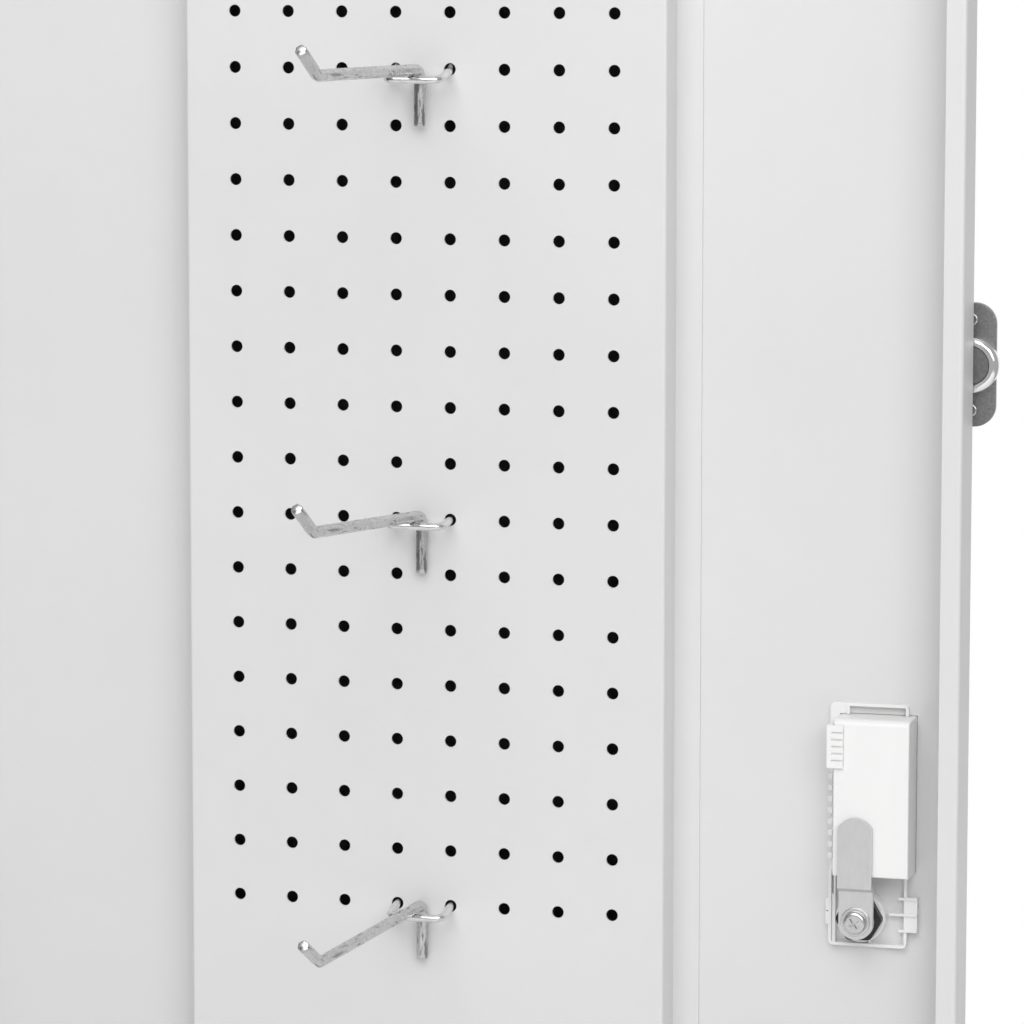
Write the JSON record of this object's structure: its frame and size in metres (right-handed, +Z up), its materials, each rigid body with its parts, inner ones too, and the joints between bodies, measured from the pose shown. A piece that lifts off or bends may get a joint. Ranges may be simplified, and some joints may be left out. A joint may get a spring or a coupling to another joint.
{
  "type": "pegboard tool wall",
  "caption": "Steel cabinet door whose inner side carries a perforated tool panel with lift-out hooks, a moulded finger recess with a cam lock, butt hinges and an edge catch.",
  "frame": {"origin": "middle of the lower hinge's cabinet-side screw holes, on the face that lies against the cabinet", "axes": "+X from the hinge edge to the free edge, +Z up, the pegboard faces -Y; the cabinet leaves stand 90 degrees from the closed position"},
  "size_m": [0.5361, 0.2093, 0.69],
  "materials": {
    "door_paint": "light grey powder coat, fine orange peel, satin",
    "panel_paint": "light grey powder coat, satin",
    "hook_zinc": "bright zinc plate with drawing marks and scuffs",
    "white_plastic": "moulded white plastic, fine satin",
    "cam_steel": "stamped steel, zinc plated, satin",
    "screw_zinc": "bright zinc plate",
    "lock_chrome": "nickel plated die casting",
    "nut_dark": "blackened steel",
    "wafer_brass": "stamped brass",
    "hinge_steel": "light grey powder coat over steel",
    "hinge_pin_steel": "ground steel",
    "plain_steel": "mill finish steel",
    "cup_chrome": "bright chrome plate",
    "magnet_ferrite": "ground ferrite",
    "catch_dark_steel": "black nickel plated steel, satin",
    "catch_screw_dark": "black nickel plated"
  },
  "bodies": {
    "cabinet_side": {"hinge_lower_cabinet_leaf": "hinge_steel", "hinge_lower_pin": "hinge_pin_steel", "hinge_upper_cabinet_leaf": "hinge_steel", "hinge_upper_pin": "hinge_pin_steel"},
    "door": {"door_pan": "door_paint", "pegboard_panel": "panel_paint", "hinge_lower_door_leaf": "hinge_steel", "hinge_upper_door_leaf": "hinge_steel", "hinge_backing_plates": "plain_steel", "hinge_screws": "screw_zinc", "handle_recess": "white_plastic", "handle_back_frame": "white_plastic", "handle_snap_strip": "white_plastic", "lock_collar": "white_plastic", "lock_barrel": "lock_chrome", "lock_nut": "nut_dark", "catch_cup": "cup_chrome", "catch_magnet": "magnet_ferrite", "catch_plate": "catch_dark_steel", "catch_bracket": "door_paint", "catch_screws": "catch_screw_dark"},
    "hook_top": {"hook_top_arm": "hook_zinc", "hook_top_staple": "hook_zinc"},
    "hook_middle": {"hook_middle_arm": "hook_zinc", "hook_middle_staple": "hook_zinc"},
    "hook_bottom": {"hook_bottom_arm": "hook_zinc", "hook_bottom_staple": "hook_zinc"},
    "lock_rotor": {"lock_plug": "lock_chrome", "lock_wafers": "wafer_brass", "lock_cam": "cam_steel", "lock_washer": "screw_zinc", "lock_cam_screw": "screw_zinc"}
  },
  "joints": [
    {"name": "door_swing", "type": "hinge", "parent": "cabinet_side", "child": "door", "pos_m": [0.016, -0.0026, 0.265], "axis": [0, 0, 1], "range_deg": [-90, 90]},
    {"name": "hook_top_tilt", "type": "hinge", "parent": "door", "child": "hook_top", "pos_m": [0.2666, -0.03124, 0.43696], "axis": [-1, 0, 0], "range_deg": [0, 75]},
    {"name": "hook_middle_tilt", "type": "hinge", "parent": "door", "child": "hook_middle", "pos_m": [0.2666, -0.02843, 0.23485], "axis": [-1, 0, 0], "range_deg": [0, 75]},
    {"name": "hook_bottom_tilt", "type": "hinge", "parent": "door", "child": "hook_bottom", "pos_m": [0.2666, -0.02924, 0.05691], "axis": [-1, 0, 0], "range_deg": [0, 65]},
    {"name": "lock_turn", "type": "hinge", "parent": "door", "child": "lock_rotor", "pos_m": [0.4672, -0.0222, 0.0517], "axis": [0, -1, 0], "range_deg": [0, 90]}
  ]
}
